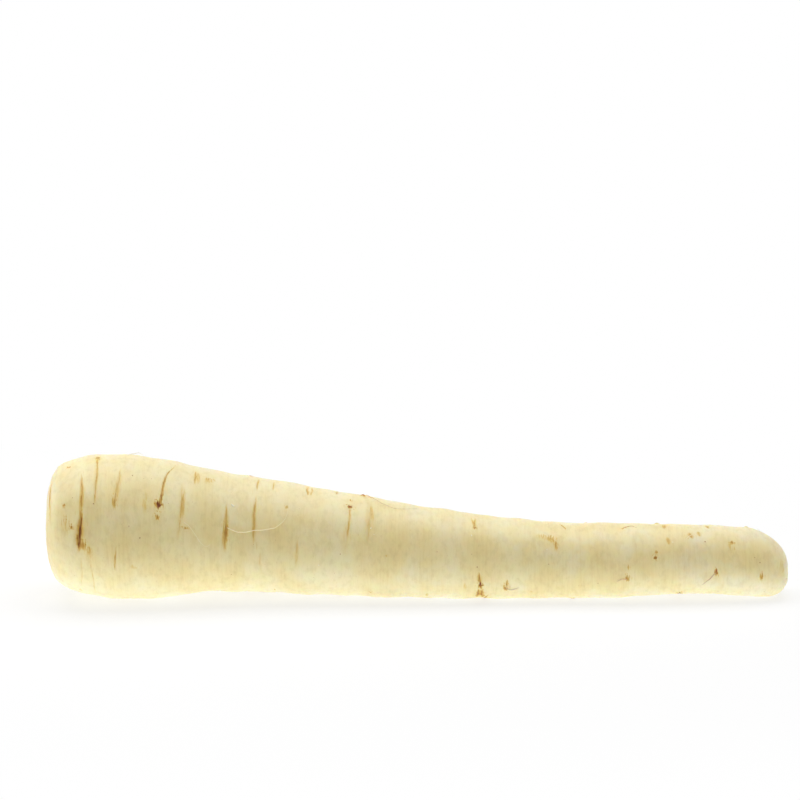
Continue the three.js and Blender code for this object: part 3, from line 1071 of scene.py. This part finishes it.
def stalk_flesh():
    """Cut leaf stalks: pale flesh, dried brown along every edge and down the sides."""
    material, tree = new_material("stalk_flesh")
    fleck, grain = tree.noise(0.5, 0.5, 3, 43), tree.noise(0.8, 0.16, 2, 47)
    edge, brown = tree.field("edge"), tree.field("brown")
    colour = tree.mix("f2e2b2", "d6b677", (brown + 2 * fleck - 1).clamped())
    colour = tree.tint(colour, "d0ac6c", grain.between(0.5, 0.68) * 0.5)
    dried = (edge + (fleck - 0.5) * 0.7).between(0.55, 1.05)
    colour = tree.mix(colour, "9a6a38", dried * (0.65 + 0.35 * brown))
    colour = tree.mix(colour, "5b3a22", (brown * 0.5 + fleck - 0.5).between(0.28, 0.6) * dried * 0.8)
    finish_skin(tree, colour, 0.55 + 0.2 * dried, grain + 0.5 * fleck, 0.1, 0.5, **{
        "Subsurface Weight": 0.5, "Subsurface Radius": (1.0, 0.7, 0.3), "Subsurface Scale": 1.2 * MM,
    })
    return material


# ---- The pieces ----
def grown_strands(name, paths, material, **sizes):
    """Round strands that thin out towards their ends and crinkle a little. Each path is a list of points,
    with its thickness in mm and how brown it is."""
    points, edges, thickness, brown = [], [], [], []
    for path, thick, tone in paths:
        start = len(points)
        points += path
        edges += [(start + k, start + k + 1) for k in range(len(path) - 1)]
        thickness += [thick * MM / 2] * len(path)
        brown += [tone] * len(path)
    tree = Grower(name, material, **sizes)
    curve = tree.add("GeometryNodeMeshToCurve", Mesh=tree.given)
    crinkled = tree.ruffled(curve, tree.size("Crinkles"), tree.size("Crinkle Height"))
    share = tree.add("GeometryNodeSplineParameter")
    thinned = 1 - (1 - tree.size("Thin End")) * share * share
    ring = tree.add("GeometryNodeCurvePrimitiveCircle", Resolution=tree.size("Sides"), Radius=1.0)
    tube = tree.add(
        "GeometryNodeCurveToMesh", Curve=crinkled, Scale=tree.attribute("thickness") * thinned,
        **{"Profile Curve": ring, "Fill Caps": True},
    )
    return tree.grow(mesh_of(name, points, edges, thickness=thickness, brown=brown), tube)


def rootlets(skin):
    paths = []
    for rootlet in ROOTLETS + more_rootlets():
        places = softened(curve_through(rootlet.path, 10 * len(rootlet.path)), 24)
        paths.append(([skin.at(*place_at) for place_at in places], rootlet.thickness, rootlet.brown))
    sizes = {"Crinkles": 420.0, "Crinkle Height": 0.5 * MM, "Thin End": 0.3, "Sides": 6}
    return grown_strands("rootlets", paths, fibre_skin("rootlet_skin", "fff6d8", "b0641c"), **sizes)


def cork_specks(body):
    """Small brown lenticels that stand a little proud, by lot on all the skin but its foot and its crown."""
    tree = Grower("cork_specks", fibre_skin("cork_skin", "dfc088", "a97c48"), **{
        "Density": 6000.0, "Smallest": 0.06 * MM, "Largest": 0.2 * MM, "Flatness": 0.3, "Seed": 12,
        "Floor Gap": 0.6 * MM, "Crown Gap": 13.0,
    })
    high = tree.maths("GREATER_THAN", tree.apart(tree.where()).of("Z"), tree.size("Floor Gap"))
    off_crown = tree.maths("GREATER_THAN", tree.attribute("from_crown"), tree.size("Crown Gap"))
    spread = tree.add(
        "GeometryNodeDistributePointsOnFaces", Mesh=tree.given, Seed=tree.size("Seed"),
        Density=tree.size("Density") * (high * off_crown),
    )
    toned = tree.add(
        "GeometryNodeStoreNamedAttribute", Geometry=spread, Name="brown", Value=tree.by_lot(0.0, 0.7, 2),
    )
    lot = tree.by_lot(0.0, 1.0, 3)
    across = tree.size("Smallest") + (tree.size("Largest") - tree.size("Smallest")) * lot * lot
    beside, thick = across * tree.by_lot(0.6, 1.5, 4), across * tree.size("Flatness")
    size = tree.add("ShaderNodeCombineXYZ", X=across, Y=beside, Z=thick)
    ball = tree.add("GeometryNodeMeshIcoSphere", Radius=1.0, Subdivisions=2)
    return tree.grow(body.data, tree.put_on(toned, ball, spread.of("Rotation"), size))


def skin_flakes(skin):
    """Small curled flakes of pale skin that stand up at one end."""
    random = np.random.default_rng(63)
    places = FLAKES + [(random.uniform(14, 200), random.uniform(195, 350), random.uniform(0.3, 0.8))
                       for _ in range(MORE_FLAKES)]
    points, out, side = [], [], []
    for along, angle, length in places:
        foot, top = skin.at(along, angle, 0.02), skin.at(along, angle, 1)
        turn = random.uniform(0, TURN)
        beside = skin.at(along + math.cos(turn), angle + 4 * math.sin(turn), 0) - foot
        points.append(foot)
        out.append((top - foot) / np.linalg.norm(top - foot))
        side.append(beside / np.linalg.norm(beside) * length)
    tree = Grower("skin_flakes", fibre_skin("flake_skin", "fff9e4", "ecdab0"), **{
        "Curl": 0.2, "Slimness": 0.55, "Narrowing": 0.35, "Cupping": 0.6, "Thickness": 0.05,
        "Ruffles": 2500.0, "Ruffle Height": 0.12 * MM,
    })
    # One flake of unit length, then that on every place.
    sheet = tree.add(
        "GeometryNodeMeshGrid", **{"Size X": 1.0, "Size Y": 1.0, "Vertices X": 6, "Vertices Y": 4},
    )
    on_sheet = tree.apart(tree.where())
    reach, breadth = on_sheet + 0.5, on_sheet.of("Y")
    narrowed = breadth * (tree.size("Slimness") - 1 - tree.size("Narrowing") * reach * reach)
    raised = tree.size("Curl") * reach * reach - tree.size("Cupping") * breadth * breadth * reach
    lift = tree.add("ShaderNodeCombineXYZ", X=0.5, Y=narrowed, Z=raised)
    curled = tree.add("GeometryNodeSetPosition", Geometry=sheet, Offset=lift)
    flake = tree.solid(curled, tree.size("Thickness"))
    along = tree.attribute("side", "FLOAT_VECTOR")
    turned = tree.add(
        "FunctionNodeAxesToRotation", {"primary_axis": "Z", "secondary_axis": "X"},
        **{"Primary Axis": tree.attribute("out", "FLOAT_VECTOR"), "Secondary Axis": along},
    )
    points_on = tree.add("GeometryNodeMeshToPoints", Mesh=tree.given)
    stood = tree.put_on(points_on, flake, turned, tree.vectors("LENGTH", along).of("Value") * MM)
    real = tree.add("GeometryNodeRealizeInstances", Geometry=stood)
    ruffled = tree.ruffled(real, tree.size("Ruffles"), tree.size("Ruffle Height"))
    return tree.grow(mesh_of("skin_flakes", points, out=out, side=side), ruffled)


def stub_fibres(skin):
    """The hard ends of leaf fibres: along the middle of each cut stub, and loose ones out of the groove."""
    random = np.random.default_rng(34)
    paths = []
    for stalk in STALKS:
        count = max(3, round(2 * math.radians(stalk.span) * stalk.radius / FIBRE_SPACING))
        for share in (np.arange(count) + random.uniform(0.2, 0.8, count)) / count:
            angle, radius = stalk.midline(1.7 * share - 0.85)
            radius = radius + random.normal(0, 0.09) * stalk.thickness
            depths = stalk.cut + 0.5, stalk.cut + 0.2, stalk.cut + 0.1 - random.uniform(0.02, 0.2)
            path = [skin.crown_place(depth, radius, angle) for depth in depths]
            paths.append((path, random.uniform(0.08, 0.2), random.uniform(0.1, 0.8)))
    for _ in range(LOOSE_FIBRES):
        run, angle = random.uniform(STUB_EDGE + 0.6, GROOVE + 2.4), random.uniform(0, 360)
        foot = skin.at_crown(run, angle, -0.3)
        reach, lean, turn = random.uniform(1.0, 2.6), random.uniform(-0.2, 0.7), random.normal(0, 0.5)
        out = skin.crown_place(0, 1, angle) - skin.crown_place(0, 0, angle)
        aside = skin.crown_place(0, 1, angle + 90) - skin.crown_place(0, 0, angle + 90)
        path = [foot + reach * (share * np.array((-MM, 0, 0)) + share ** 2 * (lean * out + turn * aside))
                for share in (0, 0.35, 0.7, 1)]
        paths.append((path, random.uniform(0.1, 0.2), random.uniform(0.1, 0.8)))
    sizes = {"Crinkles": 700.0, "Crinkle Height": 0.2 * MM, "Thin End": 0.45, "Sides": 5}
    return grown_strands("stub_fibres", paths, fibre_skin("fibre_skin", "dcc38c", "6b4426"), **sizes)


def leaf_stalks(skin):
    """The stubs of the leaf stalks, one inside the other, each cut face a little sunken as it dried."""
    points, faces, height, brown, edge = [], [], [], [], []
    row = STALK_BREADTHS + 1
    for stalk in STALKS:
        start = len(points)
        for u in np.linspace(-1, 1, STALK_STEPS + 1):
            angle, middle = stalk.midline(u)
            for v in np.linspace(-1, 1, row):
                points.append(skin.crown_place(STALK_FOOT, middle + v * stalk.thickness_at(u) / 2, angle))
                edge.append(max(abs(v), u ** 8))
        height += [(STALK_FOOT - stalk.cut) * MM] * (len(points) - start)
        brown += [stalk.brown] * (len(points) - start)
        corners = [start + i * row + j for i in range(STALK_STEPS) for j in range(STALK_BREADTHS)]
        faces += [(c, c + row, c + row + 1, c + 1) for c in corners]
    outlines = mesh_of("leaf_stalks", points, faces=faces, height=height, brown=brown, edge=edge)

    tree = Grower("leaf_stalks", stalk_flesh(), **{
        "Dish": 0.3 * MM, "Ruffles": 900.0, "Ruffle Height": 0.3 * MM,
    })
    near_edge = tree.attribute("edge")
    dished = tree.size("Dish") * (1 - near_edge * near_edge) - tree.attribute("height")
    stubs = tree.solid(tree.given, Offset=tree.add("ShaderNodeCombineXYZ", X=dished))
    rounded = tree.add("GeometryNodeSubdivisionSurface", Mesh=stubs, Level=1)
    return tree.grow(outlines, tree.ruffled(rounded, tree.size("Ruffles"), tree.size("Ruffle Height")))


def leaf_sheaths(skin):
    """Dry, torn bases of the older leaves round the stub, each a thin curled sheet drawn out of a line."""
    random = np.random.default_rng(55)
    points, edges, out, brown = [], [], [], []
    for run, count, span, height, lean in SHEATHS:
        for k in range(count):
            start, middle = len(points), 360 * (k + random.uniform(-0.3, 0.3)) / count
            half_span, tall = span * random.uniform(0.7, 1.15), height * random.uniform(0.6, 1.1)
            tone, tilt = random.uniform(0, 1), math.radians(lean + random.normal(0, 7))
            for u in np.linspace(-1, 1, SHEATH_STEPS + 1):
                angle = middle + half_span * u
                up = tall * (1 - u * u) ** 0.5 * random.uniform(0.72, 1)
                level, away = skin.crown_place(0, 0, angle), skin.crown_place(0, up * math.sin(tilt), angle)
                points.append(skin.at_crown(run - 0.25 * u * u, angle, -0.2))
                out.append(away - level + (-up * math.cos(tilt) * MM, 0, 0))
                brown.append(tone)
            edges += [(start + i, start + i + 1) for i in range(SHEATH_STEPS)]

    tree = Grower("leaf_sheaths", fibre_skin("sheath_skin", "e0c88e", "6f4528"), **{
        "Fold": 0.55, "Curls": 800.0, "Curl Height": 0.45 * MM, "Thickness": 0.16 * MM,
    })
    whole, fold = tree.attribute("out", "FLOAT_VECTOR"), tree.size("Fold")
    lower = tree.extruded(tree.given, "EDGES", Offset=tree.scaled(whole, fold))
    upper = tree.extruded(lower, "EDGES", Selection=lower.of("Top"), Offset=tree.scaled(whole, 1 - fold))
    curled = tree.ruffled(upper, tree.size("Curls"), tree.size("Curl Height"))
    seeds = mesh_of("leaf_sheaths", points, edges, out=out, brown=brown)
    return tree.grow(seeds, tree.solid(curled, tree.size("Thickness")))


def root_body():
    points, along, run, fields = root_surface()
    mesh = closed_grid("root_body", points * MM)
    for name, values in fields.items():
        add_field(mesh, name, unrolled(values))
    mesh.materials.append(root_skin())
    return placed("root_body", mesh), Skin(points, along, run)


# ---- The studio ----
# Metres, degrees above the level, and how many metres across the view is at the root.
VIEW_DISTANCE, VIEW_ELEVATION, VIEW_WIDTH = 1.1, 13, 0.2352
VIEW_TARGET = np.array((-0.0056, 0, 0.0598))
# Place, width and depth in metres, power in watts; both face the origin.
SOFT_BOXES = {
    "overhead": ((0, 0.14, 0.95), 1.3, 0.8, 9.8),
    "by_the_crown": ((-0.8, 0.1, 0.3), 0.5, 0.4, 1.8),
}
WHITE = (1, 1, 1, 1)
FLOOR_SIZE = 8


def aim(thing, place_at, target):
    direction = np.array(target) - place_at
    thing.location = place_at
    thing.rotation_mode = "QUATERNION"
    thing.rotation_quaternion = Vector(direction).to_track_quat("-Z", "Y")


def camera():
    lens = bpy.data.cameras.new("camera")
    lens.sensor_width = 36
    lens.lens = lens.sensor_width * VIEW_DISTANCE / VIEW_WIDTH
    viewer = placed("camera", lens)
    elevation = math.radians(VIEW_ELEVATION)
    away = np.array((0, -math.cos(elevation), math.sin(elevation)))
    aim(viewer, VIEW_TARGET + VIEW_DISTANCE * away, VIEW_TARGET)
    bpy.context.scene.camera = viewer


def soft_box(name, place_at, width, depth, power):
    light = bpy.data.lights.new(name, "AREA")
    light.shape = "RECTANGLE"
    light.size, light.size_y, light.energy = width, depth, power
    aim(placed(name, light), np.array(place_at), (0, 0, 0))


def seen(tree):
    """1 for what the camera sees, straight or in a reflection."""
    path = tree.add("ShaderNodeLightPath")
    return (path.of("Is Camera Ray") + path.of("Is Glossy Ray") + path.of("Is Transmission Ray")).clamped()


def floor_paper():
    """Paper that looks white with the root's soft shadow on it, and that glows faintly under the root."""
    material, tree = new_material("floor")
    place_on = tree.where()
    distance = tree.vectors("LENGTH", tree.vectors("MULTIPLY", place_on, Vector_001=(0.5, 1, 1))).of("Value")
    apart = tree.apart(place_on)
    by_the_crown, to_the_side = 1 - apart.between(-0.085, -0.02), apart.of("Y").away().between(0.015, 0.06)
    # What lights the root from below: pale paper that also glows, cooler and stronger right under the root.
    paper = tree.add("ShaderNodeBsdfDiffuse", Color=(0.55, 0.55, 0.55, 1))
    tone = tree.mix((0.92, 0.99, 1.1, 1), (0.99, 0.92, 0.65, 1), to_the_side)
    strength = (0.84 - 0.28 * to_the_side) * (1 - 0.85 * distance.between(0.1, 0.4))
    strength = strength * (1 + 0.06 * by_the_crown)
    glow = tree.add("ShaderNodeEmission", Color=tone, Strength=strength)
    lit = tree.add("ShaderNodeAddShader", Shader=paper, Shader_001=glow)
    # What is seen of it.
    shaded = tree.add("ShaderNodeBsdfDiffuse", Color=WHITE)
    white = tree.add("ShaderNodeEmission", Strength=1.0)
    bleached = 0.72 + 0.28 * distance.between(0.06, 0.2)
    shown = tree.add("ShaderNodeMixShader", Fac=bleached, Shader=shaded, Shader_001=white)
    surface = tree.add("ShaderNodeMixShader", Fac=seen(tree), Shader=lit, Shader_001=shown)
    tree.add("ShaderNodeOutputMaterial", Surface=surface)
    return material


def studio():
    world = bpy.data.worlds.new("studio")
    bpy.context.scene.world = world
    tree = emptied(world)
    sky = tree.add("ShaderNodeBackground", Color=tree.mix((0.17, 0.17, 0.17, 1), WHITE, seen(tree)))
    tree.add("ShaderNodeOutputWorld", Surface=sky)
    for name, settings in SOFT_BOXES.items():
        soft_box(name, *settings)
    bpy.ops.mesh.primitive_plane_add(size=FLOOR_SIZE)
    floor = bpy.context.object
    floor.name = "floor"
    floor.data.materials.append(floor_paper())


camera()
studio()
bpy.context.scene.view_settings.view_transform = "Standard"

body, skin = root_body()
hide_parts("parsnip")
on_the_skin = [rootlets(skin), cork_specks(body), skin_flakes(skin)]
in_the_crown = [leaf_stalks(skin), leaf_sheaths(skin), stub_fibres(skin)]
for piece in [body, *on_the_skin, *in_the_crown]:
    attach(piece, "root")
